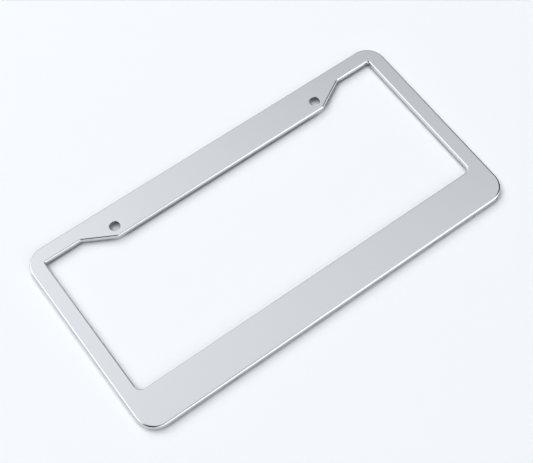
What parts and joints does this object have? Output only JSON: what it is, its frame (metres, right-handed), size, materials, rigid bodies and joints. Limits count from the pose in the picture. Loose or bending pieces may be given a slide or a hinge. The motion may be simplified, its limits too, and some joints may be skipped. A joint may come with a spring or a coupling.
{
  "type": "number plate holder",
  "caption": "Polished stainless steel frame for a number plate, one pressed sheet with a wide stepped window, edges turned back, bolt holes in the top bar and two small tabs folded in from the lower rim",
  "frame": {"origin": "Middle of the footprint, on the plane that the edge of the outer rim stands on, with the frame face up", "axes": "+X runs along the long side, from left to right as seen from the front with the bolt holes at the top; +Y runs from the bar below the window towards the bar with the bolt holes; +Z points out of the front face"},
  "size_m": [0.312, 0.16, 0.006],
  "materials": {
    "polished_steel": "mirror polished sheet, clean"
  },
  "bodies": {
    "root": {"plate_frame": "polished_steel"}
  },
  "joints": []
}
